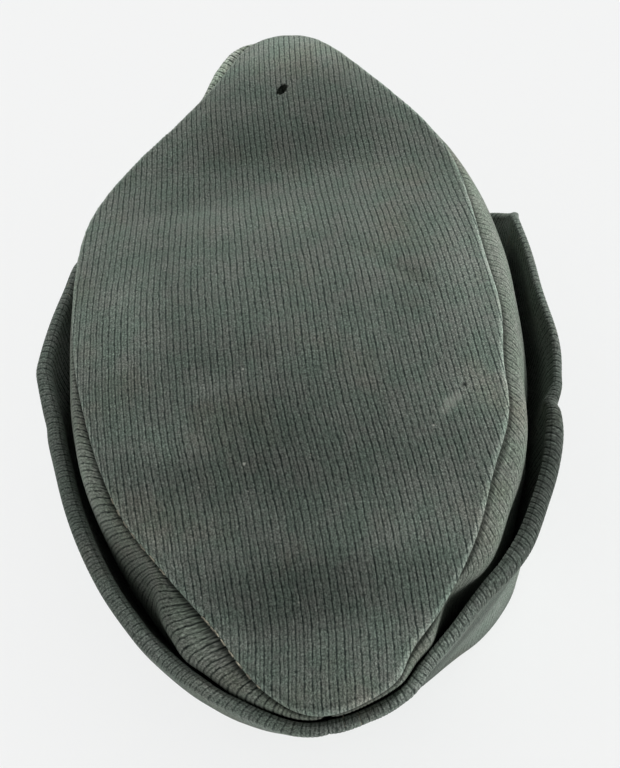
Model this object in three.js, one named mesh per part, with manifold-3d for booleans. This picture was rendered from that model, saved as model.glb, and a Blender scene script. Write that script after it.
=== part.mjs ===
// A ribbed wool field cap of the side-cap kind, in millimetres: a long top panel, two side walls that
// meet in a front and a back seam, and a turned-up flap of two cloth layers in a left and a right half.
// +Z is up, the hem rests on z = 0, the front of the cap faces -Y and the wearer's left is +X.

import * as THREE from "three";
import { mergeVertices } from "three/addons/utils/BufferGeometryUtils.js";
import Module from "manifold-3d";

// Thicknesses and gaps.
const clothThickness = 2;
const flapThickness = 4;
const pieceGap = 0.3;

// The hem is an oval as long as a head of size 57 with the cloth round it.
const hem = { halfLength: 101, halfWidth: 79, middleX: 1, middleY: 21.5 };

// How far the hem is drawn in from that oval, by the share of the way from front to back.
const hemRows = [
  { along: 0, left: 0, right: 0 },
  { along: 0.56, left: 0, right: 0 },
  { along: 0.64, left: 0, right: -3.8 },
  { along: 0.68, left: 0, right: -5 },
  { along: 0.72, left: 0, right: -3.4 },
  { along: 0.76, left: 0, right: -0.8 },
  { along: 0.8, left: 0, right: 2.6 },
  { along: 0.84, left: 0, right: 4.1 },
  { along: 0.9, left: 0, right: 4 },
  { along: 0.95, left: 0.7, right: 2.7 },
  { along: 1, left: 1.8, right: 1.8 },
];

// The seam round the top panel from the nose to the back: how far it lies to the left and to the right
// of the middle plane, how high it is, and how high the panel is halfway between the two sides.
const seamRows = [
  { y: -146, left: -8, right: -8, seam: 103.5, middle: 103.5 },
  { y: -141.5, left: 5, right: -22.5, seam: 104, middle: 106 },
  { y: -132.5, left: 12, right: -31.5, seam: 104.5, middle: 109 },
  { y: -118.5, left: 21.5, right: -41, seam: 105, middle: 111 },
  { y: -102.5, left: 36.5, right: -52, seam: 104, middle: 109.5 },
  { y: -87.5, left: 54, right: -62.5, seam: 101.5, middle: 105 },
  { y: -72.5, left: 67.5, right: -69.5, seam: 100, middle: 101 },
  { y: -57.5, left: 75, right: -72.5, seam: 101, middle: 102.5 },
  { y: -37.5, left: 78.5, right: -73.5, seam: 103.5, middle: 109 },
  { y: -12.5, left: 79.5, right: -74, seam: 105, middle: 114 },
  { y: 12.5, left: 78, right: -75, seam: 105, middle: 115.5 },
  { y: 32.5, left: 74.5, right: -72, seam: 104, middle: 114 },
  { y: 52.5, left: 69.5, right: -70, seam: 102, middle: 110 },
  { y: 72.5, left: 61.5, right: -61, seam: 99.5, middle: 104.5 },
  { y: 92.5, left: 48, right: -52, seam: 97, middle: 101 },
  { y: 112.5, left: 33, right: -38, seam: 94, middle: 95 },
  { y: 124.5, left: 25.5, right: -26.5, seam: 92.5, middle: 94 },
  { y: 132.5, left: 18.5, right: -21, seam: 92, middle: 93.5 },
  { y: 138.5, left: 10, right: -8.5, seam: 91.5, middle: 92.5 },
  { y: 140.3, left: 2, right: 2, seam: 91, middle: 91 },
];

// How far each side wall bellies out between hem and seam, by the share of the way from front to back.
const bellyRows = [
  { along: 0, left: 0, right: 0 },
  { along: 0.12, left: 3, right: 8 },
  { along: 0.25, left: 4, right: 14 },
  { along: 0.4, left: 6.5, right: 13.5 },
  { along: 0.55, left: 9.5, right: 9 },
  { along: 0.7, left: 8.5, right: 4 },
  { along: 0.82, left: 9, right: 1.5 },
  { along: 0.92, left: 5.5, right: 1 },
  { along: 1, left: 0, right: 0 },
];

// The fold at the top of the flap: its height, and how far its inner face stands off the wall there.
// It runs low across the front and rises steeply to a corner on each side.
const foldRows = [
  { along: 0, height: 34, left: 1.6, right: 1.6 },
  { along: 0.12, height: 36, left: 1.8, right: 1.8 },
  { along: 0.2, height: 40, left: 2, right: 4 },
  { along: 0.25, height: 48.5, left: 2, right: 7 },
  { along: 0.3, height: 62.7, left: 2, right: 8.6 },
  { along: 0.345, height: 79, left: 2, right: 8.6 },
  { along: 0.36, height: 84, left: 2.3, right: 8.3 },
  { along: 0.372, height: 86, left: 2.7, right: 8.2 },
  { along: 0.4, height: 86, left: 3.9, right: 8.3 },
  { along: 0.45, height: 86, left: 7.5, right: 9 },
  { along: 0.5, height: 85.5, left: 10, right: 9.8 },
  { along: 0.55, height: 85.2, left: 7.6, right: 10.9 },
  { along: 0.6, height: 85, left: 7, right: 10.8 },
  { along: 0.65, height: 84.8, left: 7.5, right: 10.9 },
  { along: 0.7, height: 84.5, left: 8.2, right: 12.2 },
  { along: 0.73, height: 84.5, left: 8.9, right: 12.6 },
  { along: 0.76, height: 84.5, left: 9.9, right: 11.8 },
  { along: 0.79, height: 84.6, left: 10.7, right: 8.9 },
  { along: 0.82, height: 84.7, left: 11.6, right: 6 },
  { along: 0.87, height: 84.9, left: 11.4, right: 3.9 },
  { along: 0.9, height: 85, left: 9.2, right: 3.4 },
  { along: 0.925, height: 85, left: 5.8, right: 2.2 },
  { along: 0.95, height: 85, left: 3.6, right: 1.3 },
  { along: 1, height: 85, left: 1.2, right: 1.1 },
];

// How thick the doubled cloth is at its fold, where it is not pressed flat.
const rollRows = [
  { along: 0, left: 4, right: 4 },
  { along: 0.3, left: 3.6, right: 3 },
  { along: 0.45, left: 4.6, right: 2.8 },
  { along: 0.52, left: 6, right: 2.8 },
  { along: 0.59, left: 6.4, right: 3.2 },
  { along: 0.625, left: 6.2, right: 4.8 },
  { along: 0.66, left: 6, right: 5.6 },
  { along: 0.76, left: 5.7, right: 5.4 },
  { along: 0.8, left: 5.6, right: 4.4 },
  { along: 0.86, left: 5.2, right: 3.8 },
  { along: 0.92, left: 4.4, right: 3.6 },
  { along: 1, left: 3.8, right: 4 },
];
const rollFade = 1.1;

// How far the wall swells out just below the seam, like a shelf, and how far the left one is lifted.
const shelfRows = [
  { along: 0, left: 0, right: 0, lift: 0 },
  { along: 0.03, left: 3.2, right: 0.3, lift: 3 },
  { along: 0.06, left: 5.4, right: 0.4, lift: 4.5 },
  { along: 0.1, left: 4.6, right: 0.8, lift: 4 },
  { along: 0.14, left: 2.2, right: 0.8, lift: 2 },
  { along: 0.2, left: 0.5, right: 0.6, lift: 0 },
  { along: 0.35, left: 0.4, right: 2.2, lift: 0 },
  { along: 0.46, left: 0.4, right: 4.6, lift: 0 },
  { along: 0.54, left: 0.6, right: 2.8, lift: 0 },
  { along: 0.58, left: 1.6, right: 4.2, lift: 0 },
  { along: 0.64, left: 3.7, right: 4.2, lift: 0 },
  { along: 0.7, left: 3.6, right: 6.2, lift: 0 },
  { along: 0.74, left: 0.9, right: 6, lift: 0 },
  { along: 0.78, left: 0.4, right: 5.6, lift: 0 },
  { along: 0.8, left: 2.6, right: 4, lift: 0 },
  { along: 0.82, left: 6, right: 0.4, lift: 0 },
  { along: 0.835, left: 7.6, right: -2, lift: 0 },
  { along: 0.86, left: 9.4, right: 0, lift: 0 },
  { along: 0.88, left: 8, right: 2.4, lift: 0 },
  { along: 0.9, left: 6.3, right: 2.1, lift: 0 },
  { along: 0.94, left: 2.8, right: 0.4, lift: 0 },
  { along: 1, left: 0, right: 0, lift: 0 },
];
const shelf = { drop: 4, fade: 16, steepest: 2.5 };

// The flap hugs the wall at the hem and flares out towards its fold: a part of its stand-off grows
// evenly with the height and the rest by a power of it.
const flare = { even: 0.3, power: 4 };

// A worn hole through the panel near the nose, slanting across the ribs.
const wornHole = { x: -7.5, y: -105.5, length: 5.6, width: 3.4, slantDegrees: -40, sides: 12 };

// How finely the pieces are divided.
const stations = 39;
const wallSteps = 11;
const wallSpacing = 1.6;
const panelSteps = 12;
const flapSteps = 9;
const flapSpacing = 1.3;
const foldSteps = 3;
const curveStepsPerRow = 24;

// How low the belly sits on the walls, and how flat the top panel stays before it drops to its seam.
const bellyRise = 1.5;
const panelCrown = 2.2;

const leftSide = 1;
const rightSide = -1;
const columnOf = (side) => (side === leftSide ? "left" : "right");

// A smooth curve through one column of a table.
function smoothColumn(rows, key, value, at) {
  const last = rows.length - 1;
  let i = 0;
  while (i < last - 1 && rows[i + 1][key] < at) i += 1;
  const slope = (k) => {
    const before = rows[Math.max(k - 1, 0)];
    const after = rows[Math.min(k + 1, last)];
    return (after[value] - before[value]) / (after[key] - before[key]);
  };
  const width = rows[i + 1][key] - rows[i][key];
  const t = THREE.MathUtils.clamp((at - rows[i][key]) / width, 0, 1);
  const start = rows[i][value];
  const end = rows[i + 1][value];
  const rise = t * t * (3 - 2 * t);
  const leave = t * (1 - t) * (1 - t) * slope(i) * width;
  const arrive = t * t * (1 - t) * slope(i + 1) * width;
  return start + (end - start) * rise + leave - arrive;
}

// A line of points with the length run so far at each point.
function measured(points) {
  const lengths = [0];
  for (let i = 1; i < points.length; i += 1) {
    lengths.push(lengths[i - 1] + points[i].distanceTo(points[i - 1]));
  }
  return { points, lengths };
}

// The point at a share of a measured line's length.
function pointAt(line, share) {
  const { points, lengths } = line;
  const wanted = THREE.MathUtils.clamp(share, 0, 1) * lengths.at(-1);
  let i = 0;
  while (i < lengths.length - 2 && lengths[i + 1] < wanted) i += 1;
  const t = (wanted - lengths[i]) / (lengths[i + 1] - lengths[i]);
  return new THREE.Vector3().lerpVectors(points[i], points[i + 1], t);
}

// Half of the seam round the top panel, from the nose to the back.
function halfSeam(side) {
  const leftPoints = seamRows.map((row) => new THREE.Vector3(row.left, row.y, row.seam));
  const rightPoints = seamRows.slice(1, -1).map((row) => new THREE.Vector3(row.right, row.y, row.seam));
  const loop = [...leftPoints, ...rightPoints.reverse()];
  const curve = new THREE.CatmullRomCurve3(loop, true, "centripetal");
  const steps = (seamRows.length - 1) * curveStepsPerRow;
  const points = [];
  for (let i = 0; i <= steps; i += 1) {
    const share = i / curveStepsPerRow / loop.length;
    points.push(curve.getPoint(side === leftSide ? share : (1 - share) % 1));
  }
  return measured(points);
}

// Half of the hem's oval, from front to back.
function halfHem(side) {
  const steps = 360;
  const points = [];
  for (let i = 0; i <= steps; i += 1) {
    const share = i / steps;
    const angle = Math.PI * (share - 0.5);
    const drawnIn = smoothColumn(hemRows, "along", columnOf(side), share);
    const x = hem.middleX + side * (hem.halfWidth - drawnIn) * Math.cos(angle);
    const y = hem.middleY + (hem.halfLength - drawnIn) * Math.sin(angle);
    points.push(new THREE.Vector3(x, y, 0));
  }
  return measured(points);
}

const seams = { left: halfSeam(leftSide), right: halfSeam(rightSide) };
const hems = { left: halfHem(leftSide), right: halfHem(rightSide) };

// A point on a wall's outer face and the level direction that points out of it. along runs from the
// front seam (0) to the back seam (1), up from the hem (0) to the panel (1).
function wallAt(side, along, up) {
  const name = columnOf(side);
  const straight = (share) => pointAt(hems[name], share).lerp(pointAt(seams[name], share), up);
  const nearby = 0.001;
  const run = straight(along + nearby).sub(straight(along - nearby));
  const out = new THREE.Vector3(run.y, -run.x, 0).multiplyScalar(side).normalize();
  const belly = smoothColumn(bellyRows, "along", name, along) * Math.sin(Math.PI * up ** bellyRise);
  const point = straight(along).addScaledVector(out, belly);
  point.z -= (clothThickness + pieceGap) * up;
  return { point, out };
}

// How far out the shelf is, as a share of its reach, by the depth below the seam.
function shelfProfile(below) {
  const rising = THREE.MathUtils.clamp(1 - below / shelf.drop, 0, 1);
  const fading = Math.max(below - shelf.drop, 0) / shelf.fade;
  return Math.sqrt(1 - rising ** 2) * Math.exp(-(fading ** 2));
}

// A point on a wall's outer face with its shelf, and the direction out of the cloth there.
function swollenWallAt(side, along, up) {
  const name = columnOf(side);
  const { point, out } = wallAt(side, along, up);
  const below = (1 - up) * pointAt(seams[name], along).z;
  const reach = smoothColumn(shelfRows, "along", name, along);
  const lift = side === leftSide ? smoothColumn(shelfRows, "along", "lift", along) : 0;
  point.addScaledVector(out, reach * shelfProfile(below));
  point.z += lift * shelfProfile(below);
  const nearby = 0.2;
  const slope = (reach * (shelfProfile(below + nearby) - shelfProfile(below))) / nearby;
  const tilt = Math.atan(THREE.MathUtils.clamp(slope, 0, shelf.steepest));
  const normal = out.multiplyScalar(Math.cos(tilt)).setZ(Math.sin(tilt));
  return { point, normal };
}

// A closed shell between an outer and an inner face. Both faces come from one function of two shares,
// and edges where the faces or the rows meet close by themselves.
function shell(rows, columns, facesAt) {
  const positions = [];
  for (const face of ["outer", "inner"]) {
    for (let i = 0; i <= rows; i += 1) {
      for (let j = 0; j <= columns; j += 1) {
        positions.push(...facesAt(i / rows, j / columns)[face].toArray());
      }
    }
  }
  const index = [];
  const innerStart = (rows + 1) * (columns + 1);
  const at = (i, j, inner) => i * (columns + 1) + j + (inner ? innerStart : 0);
  const quad = (a, b, c, d) => index.push(a, b, c, a, c, d);
  for (let i = 0; i < rows; i += 1) {
    for (let j = 0; j < columns; j += 1) {
      quad(at(i, j), at(i + 1, j), at(i + 1, j + 1), at(i, j + 1));
      quad(at(i, j, true), at(i, j + 1, true), at(i + 1, j + 1, true), at(i + 1, j, true));
    }
    quad(at(i, 0), at(i, 0, true), at(i + 1, 0, true), at(i + 1, 0));
    quad(at(i, columns), at(i + 1, columns), at(i + 1, columns, true), at(i, columns, true));
  }
  for (let j = 0; j < columns; j += 1) {
    quad(at(0, j), at(0, j + 1), at(0, j + 1, true), at(0, j, true));
    quad(at(rows, j), at(rows, j, true), at(rows, j + 1, true), at(rows, j + 1));
  }
  return closed(positions, index);
}

// A geometry with shared vertices, no empty triangles, and faces that point out.
function closed(positions, index) {
  const raw = new THREE.BufferGeometry();
  raw.setAttribute("position", new THREE.Float32BufferAttribute(positions, 3));
  raw.setIndex(index);
  const merged = mergeVertices(raw, 1e-4);
  const corners = merged.index.array;
  const kept = [];
  let volume = 0;
  const [a, b, c] = [new THREE.Vector3(), new THREE.Vector3(), new THREE.Vector3()];
  for (let i = 0; i < corners.length; i += 3) {
    const triangle = [corners[i], corners[i + 1], corners[i + 2]];
    if (new Set(triangle).size < 3) continue;
    kept.push(triangle);
    [a, b, c].forEach((corner, k) => corner.fromBufferAttribute(merged.attributes.position, triangle[k]));
    volume += a.dot(b.cross(c));
  }
  if (volume < 0) kept.forEach((triangle) => triangle.reverse());
  merged.setIndex(kept.flat());
  return merged;
}

// Ends of a wall or a flap half, which leave half the gap on each side of the front and back seams.
const endShare = pieceGap / 2 / hems.left.lengths.at(-1);
const betweenSeams = (share) => THREE.MathUtils.lerp(endShare, 1 - endShare, share);

// Steps that come closer together towards 1.
const closerToEnd = (share, spacing) => 1 - (1 - share) ** spacing;

function wallGeometry(side) {
  return shell(stations, wallSteps, (share, step) => {
    const up = closerToEnd(step, wallSpacing);
    const { point, normal } = swollenWallAt(side, betweenSeams(share), up);
    const inner = point.clone().addScaledVector(normal, -clothThickness);
    inner.z = Math.max(inner.z, 0);
    return { outer: point, inner };
  });
}

// The flap half follows the wall, flares away from it towards the fold, swells inwards and is round there.
function flapGeometry(side) {
  const name = columnOf(side);
  const straightShare = flapSteps / (flapSteps + foldSteps);
  return shell(stations, flapSteps + foldSteps, (share, up) => {
    const along = betweenSeams(share);
    const height = smoothColumn(foldRows, "along", "height", along);
    const standOff = smoothColumn(foldRows, "along", name, along);
    const roll = smoothColumn(rollRows, "along", name, along);
    const turn = (Math.PI / 2) * Math.max(0, (up - straightShare) / (1 - straightShare));
    const straightTop = height - roll / 2;
    const straightPart = closerToEnd(Math.min(1, up / straightShare), flapSpacing);
    const z = straightTop * straightPart + (roll / 2) * Math.sin(turn);
    const belowTop = Math.max(straightTop - z, 0) / (rollFade * roll);
    const thickness = flapThickness + (roll - flapThickness) * Math.exp(-(belowTop ** 2));
    const wallTop = pointAt(seams[name], along).z - clothThickness - pieceGap;
    const { point, out } = wallAt(side, along, z / wallTop);
    const rise = z / height;
    const flared = flare.even * rise + (1 - flare.even) * rise ** flare.power;
    const off = pieceGap + (standOff - pieceGap) * flared;
    point.addScaledVector(out, off + flapThickness - thickness / 2);
    const spread = (thickness / 2) * Math.cos(turn);
    return {
      outer: point.clone().addScaledVector(out, spread),
      inner: point.clone().addScaledVector(out, -spread),
    };
  });
}

// The top panel spans from seam to seam, crowned across.
function panelGeometry() {
  return shell(stations, panelSteps, (along, across) => {
    const outer = pointAt(seams.right, along).lerp(pointAt(seams.left, along), across);
    const middle = smoothColumn(seamRows, "y", "middle", outer.y);
    const fromMiddle = Math.abs(2 * across - 1);
    outer.z += (middle - outer.z) * (1 - fromMiddle ** panelCrown);
    return { outer, inner: outer.clone().setZ(outer.z - clothThickness) };
  });
}

const wasm = await Module();
wasm.setup();

function solidOf(geometry) {
  const bare = geometry.clone();
  bare.deleteAttribute("normal");
  bare.deleteAttribute("uv");
  const merged = mergeVertices(bare, 1e-4);
  return new wasm.Manifold(
    new wasm.Mesh({
      numProp: 3,
      vertProperties: new Float32Array(merged.attributes.position.array),
      triVerts: new Uint32Array(merged.index.array),
    }),
  );
}

function geometryOf(solid) {
  const mesh = solid.getMesh();
  const geometry = new THREE.BufferGeometry();
  geometry.setAttribute("position", new THREE.BufferAttribute(mesh.vertProperties, 3));
  geometry.setIndex(new THREE.BufferAttribute(mesh.triVerts, 1));
  return geometry;
}

// The panel with its worn hole cut straight through.
function wornPanelGeometry() {
  const depth = 30;
  const cutter = new THREE.CylinderGeometry(0.5, 0.5, depth, wornHole.sides);
  cutter.rotateX(Math.PI / 2);
  cutter.scale(wornHole.width, wornHole.length, 1);
  cutter.rotateZ(THREE.MathUtils.degToRad(wornHole.slantDegrees));
  const middle = smoothColumn(seamRows, "y", "middle", wornHole.y);
  cutter.translate(wornHole.x, wornHole.y, middle);
  return geometryOf(solidOf(panelGeometry()).subtract(solidOf(cutter)));
}

// Colours of the wool: the top has faded a little paler than the flap.
const wool = (colour) => new THREE.MeshStandardMaterial({ color: colour, roughness: 0.95, metalness: 0 });
const topWool = wool(0x535c54);
const sideWool = wool(0x4c544d);
const flapWool = wool(0x474f48);

const cap = new THREE.Group();

function addPiece(name, geometry, material) {
  const piece = new THREE.Mesh(geometry, material);
  piece.name = name;
  cap.add(piece);
}

addPiece("crown_top", wornPanelGeometry(), topWool);
addPiece("crown_side_left", wallGeometry(leftSide), sideWool);
addPiece("crown_side_right", wallGeometry(rightSide), sideWool);
addPiece("flap_left", flapGeometry(leftSide), flapWool);
addPiece("flap_right", flapGeometry(rightSide), flapWool);

export default cap;
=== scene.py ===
"""A ribbed wool field cap, seen from above and behind, resting on its hem on a pale floor.

The shapes are worked out in millimetres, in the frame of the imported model: +Z is up, the front faces
-Y and the wearer's left is +X. They become metres where a mesh is made.
"""
import math

import bmesh
import bpy
import numpy as np
from mathutils import Matrix, Vector


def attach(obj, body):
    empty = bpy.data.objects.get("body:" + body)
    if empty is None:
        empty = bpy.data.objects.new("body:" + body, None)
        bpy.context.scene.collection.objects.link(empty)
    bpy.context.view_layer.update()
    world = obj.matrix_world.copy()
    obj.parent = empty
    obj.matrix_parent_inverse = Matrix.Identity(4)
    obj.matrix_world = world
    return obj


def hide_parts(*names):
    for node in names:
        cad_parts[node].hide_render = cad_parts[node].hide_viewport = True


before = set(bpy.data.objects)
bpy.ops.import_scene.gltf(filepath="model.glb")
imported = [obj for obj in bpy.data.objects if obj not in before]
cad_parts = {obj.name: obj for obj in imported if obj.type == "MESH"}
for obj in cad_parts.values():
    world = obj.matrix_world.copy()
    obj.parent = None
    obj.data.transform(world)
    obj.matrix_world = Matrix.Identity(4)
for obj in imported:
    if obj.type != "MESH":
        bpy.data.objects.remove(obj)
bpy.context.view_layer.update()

MM = 0.001
LEFT, RIGHT = 1, -1
SIDE_NAME = {LEFT: "left", RIGHT: "right"}


def columns(names, *rows):
    """A short table as one array for each of its named columns."""
    return dict(zip(names.split(), np.array(rows, float).T))


# Thicknesses of the cloth and of the flap, which is two cloths thick, and the gap between pieces.
CLOTH = 2.0
FLAP = 4.0
GAP = 0.3

# The hem is an oval, drawn in a little by the share of the way from front to back.
HEM = {"half_length": 101, "half_width": 79, "middle_x": 1, "middle_y": 21.5}
HEM_DRAWN_IN = columns(
    "along left right",
    (0, 0, 0),
    (0.56, 0, 0),
    (0.64, 0, -3.8),
    (0.68, 0, -5),
    (0.72, 0, -3.4),
    (0.76, 0, -0.8),
    (0.8, 0, 2.6),
    (0.84, 0, 4.1),
    (0.9, 0, 4),
    (0.95, 0.7, 2.7),
    (1, 1.8, 1.8),
)

# The seam round the top panel from the nose to the back: how far it lies to the left and to the right
# of the middle plane, how high it is, and how high the panel is halfway between the two sides.
SEAM = columns(
    "y left right seam middle",
    (-146, -8, -8, 103.5, 103.5),
    (-141.5, 5, -22.5, 104, 106),
    (-132.5, 12, -31.5, 104.5, 109),
    (-118.5, 21.5, -41, 105, 111),
    (-102.5, 36.5, -52, 104, 109.5),
    (-87.5, 54, -62.5, 101.5, 105),
    (-72.5, 67.5, -69.5, 100, 101),
    (-57.5, 75, -72.5, 101, 102.5),
    (-37.5, 78.5, -73.5, 103.5, 109),
    (-12.5, 79.5, -74, 105, 114),
    (12.5, 78, -75, 105, 115.5),
    (32.5, 74.5, -72, 104, 114),
    (52.5, 69.5, -70, 102, 110),
    (72.5, 61.5, -61, 99.5, 104.5),
    (92.5, 48, -52, 97, 101),
    (112.5, 33, -38, 94, 95),
    (124.5, 25.5, -26.5, 92.5, 94),
    (132.5, 18.5, -21, 92, 93.5),
    (138.5, 10, -8.5, 91.5, 92.5),
    (140.3, 2, 2, 91, 91),
)
PANEL_CROWN = 2.2

# How far each side wall bellies out, by the share of the way from the front to the back.
BELLY = columns(
    "along left right",
    (0, 0, 0),
    (0.12, 3, 8),
    (0.25, 4, 14),
    (0.4, 6.5, 13.5),
    (0.55, 9.5, 9),
    (0.7, 8.5, 4),
    (0.82, 9, 1.5),
    (0.92, 5.5, 1),
    (1, 0, 0),
)
BELLY_RISE = 1.5

# The fold at the top of the flap: its height, and how far its inner face stands off the wall there.
FOLD = columns(
    "along height left right",
    (0, 34, 1.6, 1.6),
    (0.12, 36, 1.8, 1.8),
    (0.2, 40, 2, 4),
    (0.25, 48.5, 2, 7),
    (0.3, 62.7, 2, 8.6),
    (0.345, 79, 2, 8.6),
    (0.36, 84, 2.3, 8.3),
    (0.372, 86, 2.7, 8.2),
    (0.4, 86, 3.9, 8.3),
    (0.45, 86, 7.5, 9),
    (0.5, 85.5, 10, 9.8),
    (0.55, 85.2, 7.6, 10.9),
    (0.6, 85, 7, 10.8),
    (0.65, 84.8, 7.5, 10.9),
    (0.7, 84.5, 8.2, 12.2),
    (0.73, 84.5, 8.9, 12.6),
    (0.76, 84.5, 9.9, 11.8),
    (0.79, 84.6, 10.7, 8.9),
    (0.82, 84.7, 11.6, 6),
    (0.87, 84.9, 11.4, 3.9),
    (0.9, 85, 9.2, 3.4),
    (0.925, 85, 5.8, 2.2),
    (0.95, 85, 3.6, 1.3),
    (1, 85, 1.2, 1.1),
)

# How far the wall swells out just below the seam, like a shelf, and how far the left one is lifted.
SHELF = columns(
    "along left right lift",
    (0, 0, 0, 0),
    (0.03, 3.2, 0.3, 3),
    (0.06, 5.4, 0.4, 4.5),
    (0.1, 4.6, 0.8, 4),
    (0.14, 2.2, 0.8, 2),
    (0.2, 0.5, 0.6, 0),
    (0.35, 0.4, 2.2, 0),
    (0.46, 0.4, 4.6, 0),
    (0.54, 0.6, 2.8, 0),
    (0.58, 1.6, 4.2, 0),
    (0.64, 3.7, 4.2, 0),
    (0.7, 3.6, 6.2, 0),
    (0.74, 0.9, 6, 0),
    (0.78, 0.4, 5.6, 0),
    (0.8, 2.6, 4, 0),
    (0.82, 6, 0.4, 0),
    (0.835, 7.6, -2, 0),
    (0.86, 9.4, 0, 0),
    (0.88, 8, 2.4, 0),
    (0.9, 6.3, 2.1, 0),
    (0.94, 2.8, 0.4, 0),
    (1, 0, 0, 0),
)
SHELF_DROP = 4.0
SHELF_FADE = 16.0

# How thick the doubled cloth is at its fold, where it is not pressed flat.
ROLL = columns(
    "along left right",
    (0, 4, 4),
    (0.3, 3.6, 3),
    (0.45, 4.6, 2.8),
    (0.52, 6, 2.8),
    (0.59, 6.4, 3.2),
    (0.625, 6.2, 4.8),
    (0.66, 6, 5.6),
    (0.76, 5.7, 5.4),
    (0.8, 5.6, 4.4),
    (0.86, 5.2, 3.8),
    (0.92, 4.4, 3.6),
    (1, 3.8, 4),
)

# The flap hugs the wall at the hem and flares out towards its fold.
FLARE = {"even": 0.3, "power": 4.0}

# The ribs of the cloth: pitch, height, and where the mesh is divided across one rib. A rib has a
# narrow deep groove beside it and a faint one down its middle.
RIB = {"panel": 2.22, "wall": 2.3, "flap": 2.3, "height": 0.26, "middle_groove": 0.5}
ACROSS_RIB = np.array([0, 0.1, 0.3, 0.5, 0.7, 0.9])
GROOVE_SHARPNESS = 6

# The worn hole near the nose.
HOLE = {"x": -7.5, "y": -105.5, "length": 5.6, "width": 3.4, "slant": -40}

# Broad dents and swellings of the top panel: middle, size along and across, turn and height.
DENTS = columns(
    "x y long wide turn height",
    (-5, 96, 42, 8, 0, 1.7),
    (0, 114, 34, 7, 0, -1.0),
    (28, 30, 27, 8, 10, -1.2),
    (-42, -4, 17, 3.5, -40, -0.8),
    (30, -57, 34, 9, 5, -1.3),
    (-35, -66, 32, 7, 0, -1.0),
    (0, 74, 50, 9, 0, -0.7),
)


def smooth_column(rows, key, value, at):
    """A smooth curve through one column of a table."""
    x, y = rows[key], rows[value]
    slope = np.gradient(y, x)
    slope[1:-1] = (y[2:] - y[:-2]) / (x[2:] - x[:-2])
    i = np.clip(np.searchsorted(x[1:], at), 0, len(x) - 2)
    width = x[i + 1] - x[i]
    t = np.clip((at - x[i]) / width, 0, 1)
    rise = t * t * (3 - 2 * t)
    leave = t * (1 - t) ** 2 * slope[i] * width
    arrive = t * t * (1 - t) * slope[i + 1] * width
    return y[i] + (y[i + 1] - y[i]) * rise + leave - arrive


def closed_curve(points, steps):
    """A centripetal Catmull-Rom curve round a loop of points."""
    before, here, after, beyond = (np.roll(points, shift, axis=0) for shift in (1, 0, -1, -2))
    gaps = [np.linalg.norm(b - a, axis=1)[:, None] ** 0.5 for a, b in
            ((before, here), (here, after), (after, beyond))]
    leave = ((here - before) / gaps[0] - (after - before) / (gaps[0] + gaps[1])
             + (after - here) / gaps[1]) * gaps[1]
    arrive = ((after - here) / gaps[1] - (beyond - here) / (gaps[1] + gaps[2])
              + (beyond - after) / gaps[2]) * gaps[1]
    t = (np.arange(steps) / steps)[None, :, None]
    here, after, leave, arrive = (a[:, None] for a in (here, after, leave, arrive))
    curve = (here + leave * t + (3 * (after - here) - 2 * leave - arrive) * t ** 2
             + (2 * (here - after) + leave + arrive) * t ** 3)
    return curve.reshape(-1, 3)


def run_of(line):
    """The length run so far at each point of a line."""
    steps = np.linalg.norm(np.diff(line, axis=0), axis=1)
    return np.concatenate([[0], np.cumsum(steps)])


def point_at(line, share):
    """The points at shares of a line's length."""
    run = run_of(line)
    at = np.clip(share, 0, 1) * run[-1]
    return np.stack([np.interp(at, run, line[:, k]) for k in range(3)], axis=-1)


def half_seams(steps=24):
    """The left and the right half of the seam round the top panel, from the nose to the back."""
    left = np.stack([SEAM["left"], SEAM["y"], SEAM["seam"]], axis=-1)
    right = np.stack([SEAM["right"], SEAM["y"], SEAM["seam"]], axis=-1)[1:-1]
    ring = closed_curve(np.concatenate([left, right[::-1]]), steps)
    turn = (len(left) - 1) * steps
    return {LEFT: ring[:turn + 1], RIGHT: np.concatenate([ring[turn:], ring[:1]])[::-1]}


def half_hem(side):
    """Half of the hem's oval, from front to back."""
    share = np.linspace(0, 1, 361)
    angle = math.pi * (share - 0.5)
    drawn_in = smooth_column(HEM_DRAWN_IN, "along", SIDE_NAME[side], share)
    x = HEM["middle_x"] + side * (HEM["half_width"] - drawn_in) * np.cos(angle)
    y = HEM["middle_y"] + (HEM["half_length"] - drawn_in) * np.sin(angle)
    return np.stack([x, y, 0 * angle], axis=-1)


SEAM_LINE = half_seams()
HEM_LINE = {side: half_hem(side) for side in (LEFT, RIGHT)}


def wall_at(side, along, up):
    """Points on a wall's outer face and the level directions that point out of it there."""
    along, up = np.broadcast_arrays(np.asarray(along, float), np.asarray(up, float))

    def straight(share):
        low, high = point_at(HEM_LINE[side], share), point_at(SEAM_LINE[side], share)
        return low + (high - low) * up[..., None]

    nearby = 0.001
    run = straight(along + nearby) - straight(along - nearby)
    out = np.stack([run[..., 1], -run[..., 0], 0 * up], axis=-1) * side
    out /= np.linalg.norm(out, axis=-1, keepdims=True)
    belly = smooth_column(BELLY, "along", SIDE_NAME[side], along) * np.sin(math.pi * up ** BELLY_RISE)
    point = straight(along) + out * belly[..., None]
    point[..., 2] -= (CLOTH + GAP) * up
    return point, out


def random_waves(seed, longest, shortest, count=14):
    """A smooth random field over two lengths, mostly between -1 and 1."""
    rng = np.random.default_rng(seed)
    turn, phase = rng.uniform(0, 2 * math.pi, (2, count))
    length = np.exp(rng.uniform(math.log(shortest), math.log(longest), count))

    def field(a, b):
        total = 0.0
        for k in range(count):
            run = a * math.cos(turn[k]) + b * math.sin(turn[k])
            total = total + np.sin(2 * math.pi * run / length[k] + phase[k])
        return total / math.sqrt(count / 2) / 2

    return field


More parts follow.
